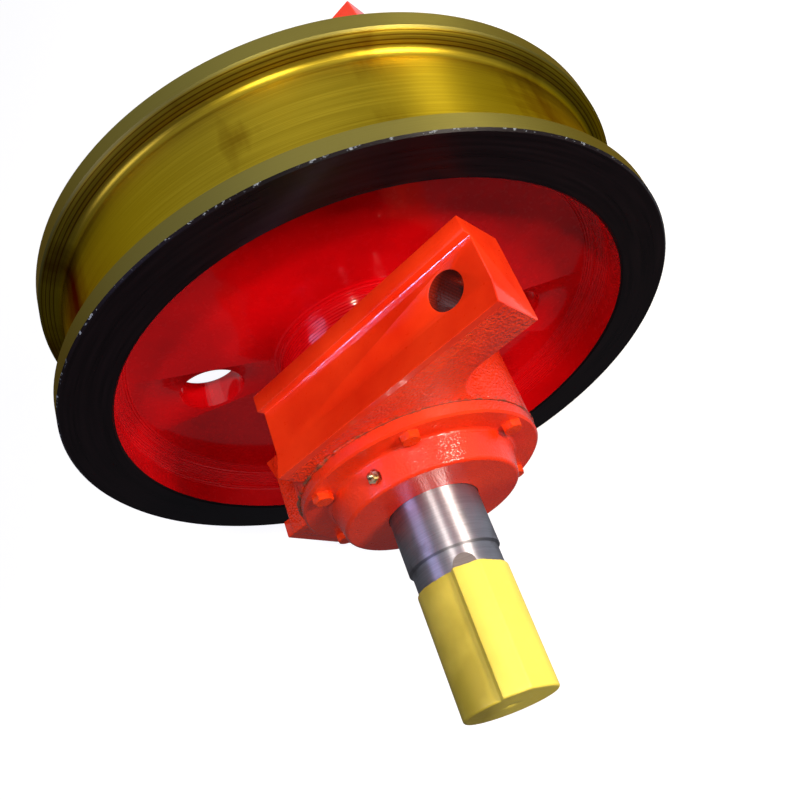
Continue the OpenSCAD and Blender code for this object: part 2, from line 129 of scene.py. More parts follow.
def add(tree: Tree, kind: str, inputs: dict | None = None, out: str | int | None = 0, **settings):
    """Adds one node, sets its properties and fills or links its inputs.

    Args:
        tree: Node tree that takes the node.
        kind: Node type name.
        inputs: Socket name or index to a value or to an output socket.
        out: Output that is wanted, or None for the node itself.
        settings: Properties of the node.

    Returns:
        The wanted output socket, or the node where out is None or it has no output.
    """
    node = tree.nodes.new(kind)
    for name, value in settings.items():
        setattr(node, name, value)
    for key, value in (inputs or {}).items():
        if isinstance(value, Socket):
            tree.links.new(value, node.inputs[key])
        else:
            node.inputs[key].default_value = value
    return node if out is None or not node.outputs else node.outputs[out]


class Surface:
    """A material under construction, with the coordinates that its patterns read."""

    def __init__(self, name: str) -> None:
        """Starts an empty material that reads object coordinates."""
        self.material = bpy.data.materials.new(name)
        self.material.use_nodes = True
        self.tree = self.material.node_tree
        self.tree.nodes.clear()
        self.place = self.put("TexCoord", out="Object")

    def put(self, kind: str, inputs: dict | None = None, out: str | int | None = 0, **settings):
        """Adds a shader node to this material."""
        return add(self.tree, "ShaderNode" + kind, inputs, out, **settings)

    def around_axle(self) -> tuple[Socket, Socket, Socket]:
        """Finds where a point lies about the axle.

        Returns:
            Radius, distance from the wheel's middle, and a vector whose first two parts go round the axle
            and whose third part runs across the turning lines.
        """
        xyz = self.put("SeparateXYZ", {0: self.place}, None).outputs
        flat = self.put("CombineXYZ", {0: xyz[0], 1: xyz[2]})
        radius = self.put("VectorMath", {0: flat}, "Value", operation="LENGTH")
        along = self.put("Math", {0: xyz[1]}, operation="ABSOLUTE")
        outward = self.put("VectorMath", {0: flat}, operation="NORMALIZE")
        ways = self.put("SeparateXYZ", {0: outward}, None).outputs
        across = self.put("Math", {0: radius, 1: OUTWARD_SHARE, 2: along}, operation="MULTIPLY_ADD")
        return radius, along, self.put("CombineXYZ", {0: ways[0], 1: ways[1], 2: across})

    def band(self, value: Socket, low: float, high: float, soft: float) -> Socket:
        """Marks the zone where a value lies between two limits.

        Args:
            value: Socket of the value.
            low: Where the zone starts.
            high: Where the zone ends.
            soft: Width of the soft edge outside each limit.

        Returns:
            1 inside the zone, 0 outside.
        """
        rising = {0: value, 1: low - soft, 2: low}
        falling = {0: value, 1: high, 2: high + soft, 3: 1.0, 4: 0.0}
        rise = self.put("MapRange", rising, interpolation_type="SMOOTHSTEP")
        fall = self.put("MapRange", falling, interpolation_type="SMOOTHSTEP")
        return self.put("Math", {0: rise, 1: fall}, operation="MULTIPLY")

    def lay(self, under: Socket | str, over: str, mask: Socket, limits: tuple[float, ...]) -> Socket:
        """Lays one colour over another where a pattern is strong.

        Args:
            under: Colour below, as a socket or a hex value.
            over: Hex value of the colour on top.
            mask: Pattern that decides.
            limits: Pattern values where the top colour starts and is full, and its largest share if not 1.

        Returns:
            The mixed colour.
        """
        start, full, most = (*limits, 1.0)[:3]
        share = self.put("MapRange", {0: mask, 1: start, 2: full, 4: most})
        below = linear(under) if isinstance(under, str) else under
        return self.put("Mix", {0: share, 6: below, 7: linear(over)}, 2, data_type="RGBA")

    def close(self, **sockets) -> Material:
        """Ends the material in one shader.

        Args:
            sockets: Shader inputs, with underscores for the spaces in their names.

        Returns:
            The finished material.
        """
        inputs = {name.replace("_", " "): value for name, value in sockets.items()}
        shader = self.put("BsdfPrincipled", inputs)
        self.put("OutputMaterial", {"Surface": shader})
        return self.material


class Finish(Protocol):
    """Anything that can make a material."""

    name: str

    def build(self) -> Material:
        """Makes the material."""


@dataclass(frozen=True)
class VarnishedSteel:
    """Turned steel under clear yellow varnish."""

    # The varnish turns the bright steel gold, with brown runs that grow denser towards -X and dull flange
    # rims. The turning lines, in truth about 0.4 mm apart, are drawn coarser to show and stretch highlights
    # across the tread.
    name: str = "varnished_turned_steel"
    gold: str = "#90781a"
    light: str = "#bda62e"
    brown_and_groove_shade: str = "#5c3203"
    dull: str = "#827a3e"
    glint: str = "#c89c38"
    flange_r: float = 320 * MM
    tread_r: float = 300 * MM
    line: float = 1.3 * MM
    groove_pitch: float = 3.4 * MM
    patch: float = 110 * MM
    brown_from: float = -130 * MM
    brown_full: float = -290 * MM
    stretch: float = 0.5

    def build(self) -> Material:
        """Makes the varnished steel.

        Returns:
            The material.
        """
        s = Surface(self.name)
        radius, _, polar = s.around_axle()
        turned = s.put("Mapping", {"Vector": polar, "Scale": (2.0, 2.0, 1 / self.line)})
        lines = s.put("TexNoise", {"Vector": turned, "Scale": 1.0, "Detail": 4.0, "Roughness": 0.6})
        around = self.tread_r / self.patch
        runs_at = s.put("Mapping", {"Vector": polar, "Scale": (around, around, 0.35 / self.patch)})
        runs = s.put("TexNoise", {"Vector": runs_at, "Scale": 1.0, "Detail": 5.0, "Roughness": 0.55})
        gold = s.lay(self.gold, self.light, lines, (0.2, 0.85))
        x = s.put("SeparateXYZ", {0: s.place})
        # The brown runs grow denser towards -X.
        brown_gradient = s.put("MapRange", {0: x, 1: self.brown_from, 2: self.brown_full, 4: 0.22})
        runs = s.put("Math", {0: runs, 1: brown_gradient}, operation="ADD")
        gold = s.lay(gold, self.brown_and_groove_shade, runs, (0.54, 0.7))
        # Dark lines on the flange's inner face follow its turning grooves and also paint that face's shade.
        phase = s.put("Math", {0: radius, 1: math.tau / self.groove_pitch}, operation="MULTIPLY")
        wave = s.put("Math", {0: phase}, operation="SINE")
        flank = s.band(radius, self.tread_r + 6 * MM, self.flange_r - 3 * MM, 1 * MM)
        deep = s.put("MapRange", {0: wave, 1: 0.3, 2: 0.95, 4: 0.75})
        grooves_and_shade = s.put("Math", {0: deep, 1: flank}, operation="MULTIPLY")
        gold = s.put("Mix", {0: grooves_and_shade, 6: gold, 7: linear(self.brown_and_groove_shade)}, 2, data_type="RGBA")
        rim = s.put("MapRange", {0: radius, 1: self.flange_r - 2.5 * MM, 2: self.flange_r - 1 * MM})
        colour = s.put("Mix", {0: rim, 6: gold, 7: linear(self.dull)}, 2, data_type="RGBA")
        smooth = s.put("MapRange", {0: lines, 1: 0.3, 2: 0.7, 3: 0.3, 4: 0.4})
        rough = s.put("Math", {0: rim, 1: 0.16, 2: smooth}, operation="MULTIPLY_ADD")
        relief = s.put("Bump", {"Height": lines, "Distance": 0.05 * MM, "Strength": 0.14})
        return s.close(
            Base_Color=colour,
            Metallic=1.0,
            Roughness=rough,
            Normal=relief,
            Specular_Tint=linear(self.glint),
            Anisotropic=self.stretch,
            Anisotropic_Rotation=0.25,
            Tangent=s.put("Tangent", direction_type="RADIAL", axis="Y"),
        )


@dataclass(frozen=True)
class RimBlack:
    """Black machinery paint, brushed on the rim sides."""

    # Nearly black with a low sheen, faint brush rings, and small chips that bare the steel at the corner.
    name: str = "brushed_black_paint"
    black: str = "#0c0709"
    grey: str = "#150e11"
    chip: str = "#7f878e"
    corner_r: float = 318.2 * MM
    chip_size: float = 5 * MM
    brush: float = 2.2 * MM

    def build(self) -> Material:
        """Makes the paint.

        Returns:
            The material.
        """
        s = Surface(self.name)
        radius, _, polar = s.around_axle()
        brushed = s.put("Mapping", {"Vector": polar, "Scale": (3.0, 3.0, 1 / self.brush)})
        lines = s.put("TexNoise", {"Vector": brushed, "Scale": 1.0, "Detail": 3.0})
        colour = s.lay(self.black, self.grey, lines, (0.4, 0.7))
        small = 1 / self.chip_size
        flakes = s.put("TexNoise", {"Vector": s.place, "Scale": small, "Detail": 4.0, "Roughness": 0.65})
        corner = s.put("MapRange", {0: radius, 1: self.corner_r - 1 * MM, 2: self.corner_r + 0.6 * MM})
        flakes = s.put("Math", {0: flakes, 1: corner}, operation="MULTIPLY")
        colour = s.lay(colour, self.chip, flakes, (0.57, 0.66))
        rough = s.put("MapRange", {0: lines, 1: 0.3, 2: 0.7, 3: 0.26, 4: 0.4})
        relief = s.put("Bump", {"Height": lines, "Distance": 0.1 * MM, "Strength": 0.25})
        return s.close(
            Base_Color=colour,
            Roughness=rough,
            Normal=relief,
            Specular_IOR_Level=0.12,
            Coat_Weight=0.06,
            Coat_Roughness=0.2,
        )


@dataclass(frozen=True)
class RedEnamel:
    """Gloss red enamel, sprayed over the turned web and hub."""

    # Deep even red with a wet gloss and a very slight orange peel.
    name: str = "sprayed_red_enamel"
    red: str = "#dc040c"
    deep: str = "#bc030a"
    glint: str = "#ff5048"
    cloud: float = 120 * MM
    peel: float = 6 * MM

    def build(self) -> Material:
        """Makes the enamel.

        Returns:
            The material.
        """
        s = Surface(self.name)
        clouds = s.put("TexNoise", {"Vector": s.place, "Scale": 1 / self.cloud, "Detail": 3.0})
        colour = s.lay(self.red, self.deep, clouds, (0.35, 0.65))
        peel = s.put("TexNoise", {"Vector": s.place, "Scale": 1 / self.peel, "Detail": 2.0})
        rough = s.put("MapRange", {0: peel, 1: 0.3, 2: 0.7, 3: 0.2, 4: 0.3})
        skin = s.put("Bump", {"Height": peel, "Distance": 0.12 * MM, "Strength": 0.35})
        return s.close(
            Base_Color=colour,
            Roughness=rough,
            Normal=skin,
            Specular_IOR_Level=0.1,
            Specular_Tint=linear(self.glint),
            Coat_Weight=0.8,
            Coat_Roughness=0.06,
            Coat_Normal=skin,
        )


@dataclass(frozen=True)
class CastPaint:
    """Orange red machinery paint over a sand casting with machined seats, or over a turned cover."""

    # Glossy and grainy where the casting is raw, smooth on the machined faces, with shade painted dark on the
    # bolt hole walls, and brown grime beside the cover joint. The sand grain, under 1 mm, is drawn coarser to
    # show.
    name: str = "painted_sand_casting"
    paint: str = "#f03a12"
    shade: str = "#d92508"
    grime: str = "#5a3018"
    hole_painted_shade: str = "#3d0d08"
    glint: str = "#ff9a80"
    seat: float = 136 * MM
    leg_end: float = 211 * MM
    hole_at: Point = (172 * MM, 145 * MM)
    hole_r: float = 17.8 * MM
    grain: float = 2.6 * MM
    relief: float = 0.9 * MM
    cloud: float = 71.4 * MM
    joint: float = 190 * MM
    body_r: float = 121 * MM

    def build(self) -> Material:
        """Makes the paint.

        Returns:
            The material.
        """
        s = Surface(self.name)
        x, _, z = s.put("SeparateXYZ", {0: s.place}, None).outputs
        down_z = s.put("Math", {0: z, 1: -1.0}, operation="MULTIPLY")
        down_x = s.put("Math", {0: x, 1: -1.0}, operation="MULTIPLY")
        smooth = holes = self._holes(s, x, z)
        for value, limit in ((z, self.seat), (down_x, self.seat), (x, self.leg_end), (down_z, self.leg_end)):
            machined = s.put("MapRange", {0: value, 1: limit, 2: limit + 0.5 * MM})
            smooth = s.put("Math", {0: smooth, 1: machined}, operation="MAXIMUM")
        cells = s.put("TexVoronoi", {"Vector": s.place, "Scale": 1 / self.grain}, "Distance")
        coarse = 0.5 / self.grain
        pits = s.put("TexNoise", {"Vector": s.place, "Scale": coarse, "Detail": 6.0, "Roughness": 0.62})
        rough_skin = s.put("Math", {0: cells, 1: pits}, operation="ADD")
        clouds = s.put("TexNoise", {"Vector": s.place, "Scale": 1 / self.cloud, "Detail": 4.0})
        colour = s.lay(self.paint, self.shade, clouds, (0.35, 0.7))
        raw = s.put("MapRange", {0: smooth, 3: 1.0, 4: 0.05})
        relief = s.put("Math", {0: rough_skin, 1: raw}, operation="MULTIPLY")
        # Painted shade: the bolt hole walls are coloured dark in place of the shadow inside them.
        colour = s.put("Mix", {0: holes, 6: colour, 7: linear(self.hole_painted_shade)}, 2, data_type="RGBA")
        skin = s.put("Bump", {"Height": relief, "Distance": self.relief, "Strength": 0.9})
        stain = self._stain(s, pits)
        colour = s.put("Mix", {0: stain, 6: colour, 7: linear(self.grime)}, 2, data_type="RGBA")
        return s.close(
            Base_Color=colour,
            Roughness=s.put("MapRange", {0: pits, 1: 0.3, 2: 0.7, 3: 0.25, 4: 0.45}),
            Normal=skin,
            Specular_IOR_Level=0.25,
            Specular_Tint=linear(self.glint),
            Coat_Weight=1.0,
            Coat_Roughness=0.05,
            Coat_Normal=skin,
        )

    def _holes(self, s: Surface, x: Socket, z: Socket) -> Socket:
        """Marks the walls of the two bolt holes."""
        _, along, _ = s.around_axle()
        inside = []
        for value, centre in ((x, self.hole_at[0]), (z, -self.hole_at[0])):
            spot = s.put("CombineXYZ", {0: value, 1: along})
            middle = (centre, self.hole_at[1], 0.0)
            away = s.put("VectorMath", {0: spot, 1: middle}, "Value", operation="DISTANCE")
            inside.append(s.put("MapRange", {0: away, 1: self.hole_r, 2: self.hole_r - 0.4 * MM}))
        return s.put("Math", {0: inside[0], 1: inside[1]}, operation="MAXIMUM")

    def _stain(self, s: Surface, pits: Socket) -> Socket:
        """Marks patches of brown grime beside the cover joint."""
        radius, along, _ = s.around_axle()
        beside = s.band(along, self.joint - 3 * MM, self.joint + 0.8 * MM, 3 * MM)
        edge = s.band(radius, self.body_r - 0.5 * MM, self.body_r + 3 * MM, 3 * MM)
        zone = s.put("Math", {0: beside, 1: edge}, operation="MULTIPLY")
        patches = s.put("MapRange", {0: pits, 1: 0.44, 2: 0.62, 4: 0.7})
        return s.put("Math", {0: zone, 1: patches}, operation="MULTIPLY")


@dataclass(frozen=True)
class PaintedHex:
    """The same paint, brushed over zinc plated hexagon bolts and squeezed sealing compound."""

    # Thick and glossy, with brown grime in the hollows.
    name: str
    paint: str = "#f2430f"
    shade: str = "#cf2a08"
    grime: str = "#6b3a22"
    blotch: float = 6 * MM
    clean: float = 0.75
    bump: float = 0.25 * MM
    glint: str = "#ff9a80"

    def build(self) -> Material:
        """Makes the paint.

        Returns:
            The material.
        """
        s = Surface(self.name)
        small = 1 / self.blotch
        blotches = s.put("TexNoise", {"Vector": s.place, "Scale": small, "Detail": 5.0, "Roughness": 0.6})
        colour = s.lay(self.paint, self.shade, blotches, (0.35, 0.65))
        dirt = s.put("TexNoise", {"Vector": s.place, "Scale": 0.45 / self.blotch, "Detail": 4.0})
        colour = s.lay(colour, self.grime, dirt, (self.clean - 0.12, self.clean))
        skin = s.put("Bump", {"Height": blotches, "Distance": self.bump, "Strength": 0.5})
        return s.close(
            Base_Color=colour,
            Roughness=s.put("MapRange", {0: blotches, 1: 0.3, 2: 0.7, 3: 0.2, 4: 0.36}),
            Normal=skin,
            Specular_IOR_Level=0.25,
            Specular_Tint=linear(self.glint),
            Coat_Weight=0.5,
            Coat_Roughness=0.08,
            Coat_Normal=skin,
        )


@dataclass(frozen=True)
class TurnedSteel:
    """Bare carbon steel, turned or ground about the axle."""

    # Fine rings round the shaft, drawn coarser than the real 0.1 mm to show, stretch each highlight into
    # a soft streak along it. A few dull smudges break the shine.
    name: str
    colour: str = "#c6c4c9"
    dark: str = "#9f9ca1"
    smudge: str = "#7b6a60"
    roughness: float = 0.27
    line: float = 0.8 * MM
    smudge_size: float = 23.8 * MM
    stretch: float = 0.0

    def build(self) -> Material:
        """Makes the steel.

        Returns:
            The material.
        """
        s = Surface(self.name)
        _, _, polar = s.around_axle()
        turned = s.put("Mapping", {"Vector": polar, "Scale": (0.7, 0.7, 1 / self.line)})
        lines = s.put("TexNoise", {"Vector": turned, "Scale": 1.0, "Detail": 3.0, "Roughness": 0.55})
        spots = 1 / self.smudge_size
        smudges = s.put("TexNoise", {"Vector": s.place, "Scale": spots, "Detail": 5.0, "Roughness": 0.6})
        colour = s.lay(self.dark, self.colour, lines, (0.1, 0.9))
        colour = s.lay(colour, self.smudge, smudges, (0.56, 0.76, 0.6))
        rough = s.put("MapRange", {0: smudges, 1: 0.35, 2: 0.75, 3: self.roughness, 4: self.roughness + 0.14})
        relief = s.put("Bump", {"Height": lines, "Distance": 0.02 * MM, "Strength": 0.3})
        return s.close(
            Base_Color=colour,
            Metallic=1.0,
            Roughness=rough,
            Normal=relief,
            Anisotropic=self.stretch,
            Anisotropic_Rotation=0.25,
            Tangent=s.put("Tangent", direction_type="RADIAL", axis="Y"),
        )


@dataclass(frozen=True)
class PeelFilm:
    """Dipped, peelable wax coating on the shaft end."""

    # Soft warm yellow with an olive tone in slow waves, deepened into painted shade on one side, and a little
    # light inside.
    name: str = "dipped_wax_coating"
    colour: str = "#efda58"
    olive_and_shade: str = "#a8962a"
    wave: float = 60 * MM
    shade_way: Spot = (-0.736, 0.0, 0.677)
    shade_edge: float = 24 * MM
    skin: float = 5 * MM

    def build(self) -> Material:
        """Makes the coating.

        Returns:
            The material.
        """
        s = Surface(self.name)
        waves = s.put("TexNoise", {"Vector": s.place, "Scale": 1 / self.wave, "Detail": 3.0})
        # Painted shade: the olive deepens towards one side of the shaft end, standing in for that side's
        # shadow.
        sideways = s.put("VectorMath", {0: s.place, 1: self.shade_way}, "Value", operation="DOT_PRODUCT")
        shaded_side = s.put("MapRange", {0: sideways, 1: 0.0, 2: self.shade_edge, 3: 0.25, 4: 1.7})
        share = s.put("Math", {0: shaded_side, 1: waves}, operation="MULTIPLY")
        colour = s.put("Mix", {0: share, 6: linear(self.colour), 7: linear(self.olive_and_shade)}, 2, data_type="RGBA")
        skin = s.put("TexNoise", {"Vector": s.place, "Scale": 1 / self.skin, "Detail": 3.0})
        return s.close(
            Base_Color=colour,
            Roughness=s.put("MapRange", {0: skin, 1: 0.3, 2: 0.7, 3: 0.34, 4: 0.46}),
            Normal=s.put("Bump", {"Height": skin, "Distance": 0.2 * MM, "Strength": 0.25}),
            Specular_IOR_Level=0.4,
            Subsurface_Weight=0.1,
            Subsurface_Radius=(1.0, 0.8, 0.2),
            Subsurface_Scale=0.003,
        )


@dataclass(frozen=True)
class GrainyStock:
    """A plain stock with its own grain: brass, felt or oiled paper."""

    # Brass shows dull and bright spots, felt and paper a matt fibrous grain.
    name: str
    colour: str
    dark: str
    metallic: float
    roughness: float
    grain: float

    def build(self) -> Material:
        """Makes the stock.

        Returns:
            The material.
        """
        s = Surface(self.name)
        small = 1 / self.grain
        grain = s.put("TexNoise", {"Vector": s.place, "Scale": small, "Detail": 4.0, "Roughness": 0.6})
        rough = {0: grain, 1: 0.3, 2: 0.7, 3: self.roughness, 4: self.roughness + 0.12}
        colour = s.lay(self.colour, self.dark, grain, (0.35, 0.65))
        return s.close(
            Base_Color=colour,
            Metallic=self.metallic,
            Roughness=s.put("MapRange", rough),
            Normal=s.put("Bump", {"Height": grain, "Distance": 0.2 * MM, "Strength": 0.4}),
        )


CAST_PAINT = CastPaint()
COVER_PAINT = CastPaint("painted_turned_cover", grain=2.2 * MM, relief=0.3 * MM)
BOLT_PAINT = PaintedHex("brushed_bolt_paint")
SEALING_BEAD = PaintedHex("painted_sealing_compound", "#e23a18", "#b8341c", "#7a4a34", 5 * MM, 0.6, 0.5 * MM)
GROUND_STEEL = TurnedSteel("ground_shaft_steel", roughness=0.36, stretch=0.9)
KEY_STEEL = TurnedSteel("milled_key_steel", "#9a8f89", "#7d726c", "#6a564c", 0.36)
TURNED_STEEL = TurnedSteel("turned_sleeve_steel", "#8d8a86", "#6a6763", "#5c5048", 0.34)
BEARING_STEEL = TurnedSteel("ground_bearing_steel", "#b9b7b3", "#97958f", "#8a857e", 0.14)
CAGE_BRASS = GrainyStock("machined_cage_brass", "#b58b43", "#8d6a2e", 1.0, 0.3, 1.5 * MM)
NIPPLE_BRASS = GrainyStock("turned_nipple_brass", "#e2d6b4", "#a8945e", 1.0, 0.2, 1.2 * MM)
GASKET_PAPER = GrainyStock("painted_gasket_paper", "#8e2a12", "#4a160c", 0.0, 0.5, 4 * MM)
SEAL_FELT = GrainyStock("pressed_seal_felt", "#8d8068", "#6a5f4c", 0.0, 0.9, 0.7 * MM)


class Finishes:
    """All materials of the set, each made once."""

    def __init__(self) -> None:
        """Starts with no material made."""
        self._made: dict[str, Material] = {}

    def get(self, finish: Finish) -> Material:
        """Makes a finish the first time it is asked for and returns its material."""
        if finish.name not in self._made:
            self._made[finish.name] = finish.build()
        return self._made[finish.name]


def dress(node: Piece, material: Material) -> None:
    """Gives a frame node its material.

    Args:
        node: The node's object.
        material: Material for all its slots.
    """
    if not node.material_slots:
        node.data.materials.append(material)
    for slot in node.material_slots:
        slot.material = material
    LOG.info("%s: %s", node.name, material.name)


def link(name: str, mesh: Mesh) -> Piece:
    """Puts a mesh into the scene as an object at the origin.

    Args:
        name: Name of the object.
        mesh: Its mesh.

    Returns:
        The object.
    """
    piece = bpy.data.objects.new(name, mesh)
    bpy.context.scene.collection.objects.link(piece)
    return piece


def bake(host: Piece, name: str) -> Piece:
    """Turns an object with live modifiers into a plain mesh piece and removes the host.

    Args:
        host: Object with its modifiers.
        name: Name of the finished piece.

    Returns:
        The plain piece.
    """
    graph = bpy.context.evaluated_depsgraph_get()
    mesh = bpy.data.meshes.new_from_object(host.evaluated_get(graph))
    mesh.name = name
    bpy.data.objects.remove(host)
    return link(name, mesh)


def grow(name: str, mesh: Mesh, tree: Tree, values: dict) -> Piece:
    """Runs a geometry tree on a mesh and bakes the result.

    Args:
        name: Name of the finished piece.
        mesh: Mesh that the tree starts from.
        tree: The geometry tree.
        values: Named inputs of the tree.

    Returns:
        The plain piece.
    """
    host = link(name + "_host", mesh)
    modifier = host.modifiers.new("rule", "NODES")
    modifier.node_group = tree
    for key, value in values.items():
        modifier[tree.interface.items_tree[key].identifier] = value
    return bake(host, name)


def shade_smooth(piece: Piece, angle: float) -> None:
    """Points faces outwards and shades a piece smooth except at edges sharper than an angle in degrees."""
    shape = bmesh.new()
    shape.from_mesh(piece.data)
    bmesh.ops.recalc_face_normals(shape, faces=shape.faces)
    shape.to_mesh(piece.data)
    shape.free()
    piece.data.polygons.foreach_set("use_smooth", [True] * len(piece.data.polygons))
    piece.data.set_sharp_from_angle(angle=math.radians(angle))


def new_tree(name: str, **inputs: str) -> tuple[Tree, bpy.types.NodeOutputs]:
    """Starts a geometry tree with a geometry in and out, named inputs and a finish.

    Args:
        name: Name of the tree.
        inputs: Input names with their socket types.

    Returns:
        The empty tree and the outputs of its group input, by name.
    """
    tree = bpy.data.node_groups.new(name, "GeometryNodeTree")
    for label, kind in {"Geometry": "Geometry", **inputs, "Finish": "Material"}.items():
        tree.interface.new_socket(label, in_out="INPUT", socket_type="NodeSocket" + kind)
    tree.interface.new_socket("Geometry", in_out="OUTPUT", socket_type="NodeSocketGeometry")
    return tree, add(tree, "NodeGroupInput", out=None).outputs


def end_tree(tree: Tree, geometry: Socket, finish: Socket) -> None:
    """Ends a geometry tree in real meshes with their material.

    Args:
        tree: The tree.
        geometry: Last geometry of the rule.
        finish: Material input of the tree.
    """
    real = add(tree, "GeometryNodeRealizeInstances", {0: geometry})
    dressed = add(tree, "GeometryNodeSetMaterial", {"Geometry": real, "Material": finish})
    add(tree, "NodeGroupOutput", {0: dressed})


def turned_ring_tree() -> Tree:
    """Builds the rule that turns a closed section about the axle.

    Returns:
        The geometry tree.
    """
    tree, given = new_tree("turned_ring", Segments="Int")
    section = given["Geometry"]
    count = add(tree, "GeometryNodeAttributeDomainSize", {0: section}, "Point Count", component="MESH")
    rows = add(tree, "ShaderNodeMath", {0: count, 1: 1.0}, operation="ADD")
    columns = add(tree, "ShaderNodeMath", {0: given["Segments"], 1: 1.0}, operation="ADD")
    sheet = add(tree, "GeometryNodeMeshGrid", {"Vertices X": rows, "Vertices Y": columns}, "Mesh")
    index = add(tree, "GeometryNodeInputIndex")
    middle = add(tree, "ShaderNodeMath", {0: index, 1: 0.5}, operation="ADD")
    share = add(tree, "ShaderNodeMath", {0: middle, 1: columns}, operation="DIVIDE")
    row = add(tree, "ShaderNodeMath", {0: share}, operation="FLOOR")
    column = add(tree, "ShaderNodeMath", {0: index, 1: columns}, operation="MODULO")
    point = add(tree, "ShaderNodeMath", {0: row, 1: count}, operation="MODULO")
    lookup = {"Geometry": section, "Value": add(tree, "GeometryNodeInputPosition"), "Index": point}
    spot = add(tree, "GeometryNodeSampleIndex", lookup, data_type="FLOAT_VECTOR")
    step = add(tree, "ShaderNodeMath", {0: math.tau, 1: given["Segments"]}, operation="DIVIDE")
    angle = add(tree, "ShaderNodeMath", {0: column, 1: step}, operation="MULTIPLY")
    about = {"Vector": spot, "Axis": (0.0, 1.0, 0.0), "Angle": angle}
    turned = add(tree, "ShaderNodeVectorRotate", about, rotation_type="AXIS_ANGLE")
    placed = add(tree, "GeometryNodeSetPosition", {"Geometry": sheet, "Position": turned})
    closed = add(tree, "GeometryNodeMergeByDistance", {"Geometry": placed, "Distance": SAME_SPOT})
    end_tree(tree, closed, given["Finish"])
    return tree


def bolt_circle_tree() -> Tree:
    """Builds the rule that sets bolts on a circle, each turned a little differently.

    Returns:
        The geometry tree.
    """
    sizes = {"Radius": "Float", "Turn": "Float", "Face": "Float"}
    tree, given = new_tree("bolt_circle", Count="Int", **sizes, Seed="Int")
    step = add(tree, "ShaderNodeMath", {0: math.tau, 1: given["Count"]}, operation="DIVIDE")
    index = add(tree, "GeometryNodeInputIndex")
    angle = add(tree, "ShaderNodeMath", {0: index, 1: step, 2: given["Turn"]}, operation="MULTIPLY_ADD")
    spot = {2: given["Face"]}
    for part, wave in enumerate(("COSINE", "SINE")):
        share = add(tree, "ShaderNodeMath", {0: angle}, operation=wave)
        spot[part] = add(tree, "ShaderNodeMath", {0: share, 1: given["Radius"]}, operation="MULTIPLY")
    place = add(tree, "ShaderNodeCombineXYZ", spot)
    points = add(tree, "GeometryNodePoints", {"Count": given["Count"], "Position": place})
    uneven = {2: -SPANNER_SPREAD, 3: SPANNER_SPREAD, "Seed": given["Seed"]}
    spin = add(tree, "FunctionNodeRandomValue", uneven, 1, data_type="FLOAT")
    heading = add(tree, "ShaderNodeMath", {0: angle, 1: spin}, operation="ADD")
    turn = add(tree, "ShaderNodeCombineXYZ", {2: heading})
    set_out = {"Points": points, "Instance": given["Geometry"], "Rotation": turn}
    bolts = add(tree, "GeometryNodeInstanceOnPoints", set_out)
    end_tree(tree, bolts, given["Finish"])
    return tree


def bead_tree() -> Tree:
    """Builds the rule that runs a lumpy bead round a joint.

    Returns:
        The geometry tree.
    """
    sizes = {"Radius": "Float", "Thickness": "Float", "Lump": "Float", "Thin": "Float"}
    tree, given = new_tree("joint_bead", **sizes, Seed="Float")
    joint = {"Resolution": 420, "Radius": given["Radius"]}
    path = add(tree, "GeometryNodeCurvePrimitiveCircle", joint, "Curve")
    pitch = add(tree, "ShaderNodeMath", {0: 1.0, 1: given["Lump"]}, operation="DIVIDE")
    place = add(tree, "GeometryNodeInputPosition")
    pattern = {"Vector": place, "W": given["Seed"], "Scale": pitch, "Detail": 3.0}
    lumps = add(tree, "ShaderNodeTexNoise", pattern, noise_dimensions="4D")
    size = add(tree, "ShaderNodeMapRange", {0: lumps, 1: 0.36, 2: 0.66, 3: 0.25, 4: 1.25})
    x = add(tree, "ShaderNodeSeparateXYZ", {0: place})
    taper = {0: x, 1: 60 * MM, 2: -20 * MM, 3: given["Thin"], 4: given["Thickness"]}
    full = add(tree, "ShaderNodeMapRange", taper)
    thick = add(tree, "ShaderNodeMath", {0: size, 1: full}, operation="MULTIPLY")
    section = add(tree, "GeometryNodeCurvePrimitiveCircle", {"Resolution": 10, "Radius": 1.0}, "Curve")
    run = {"Curve": path, "Profile Curve": section, "Scale": thick}
    end_tree(tree, add(tree, "GeometryNodeCurveToMesh", run), given["Finish"])
    return tree


def wrap(name: str, rings: list[list[Spot]]) -> Mesh:
    """Joins rings of points into one closed skin with a cap at each end.

    Args:
        name: Name of the mesh.
        rings: Rings with equally many points.

    Returns:
        The mesh.
    """
    shape = bmesh.new()
    rows = [[shape.verts.new(spot) for spot in ring] for ring in rings]
    for low, high in zip(rows, rows[1:]):
        for i in range(len(low)):
            j = (i + 1) % len(low)
            shape.faces.new((low[i], low[j], high[j], high[i]))
    for row in (rows[0], rows[-1]):
        shape.faces.new(row)
    bmesh.ops.recalc_face_normals(shape, faces=shape.faces)
    mesh = bpy.data.meshes.new(name)
    shape.to_mesh(mesh)
    shape.free()
    return mesh


def arc(centre: Point, radius: float, start: float, end: float, steps: int) -> list[Point]:
    """Lists points of an arc, with angles in degrees.

    Args:
        centre: Centre of the arc.
        radius: Its radius.
        start: First angle.
        end: Last angle.
        steps: Number of steps.

    Returns:
        The points, both ends among them.
    """
    turns = [math.radians(start + (end - start) * i / steps) for i in range(steps + 1)]
    return [(centre[0] + radius * math.cos(t), centre[1] + radius * math.sin(t)) for t in turns]


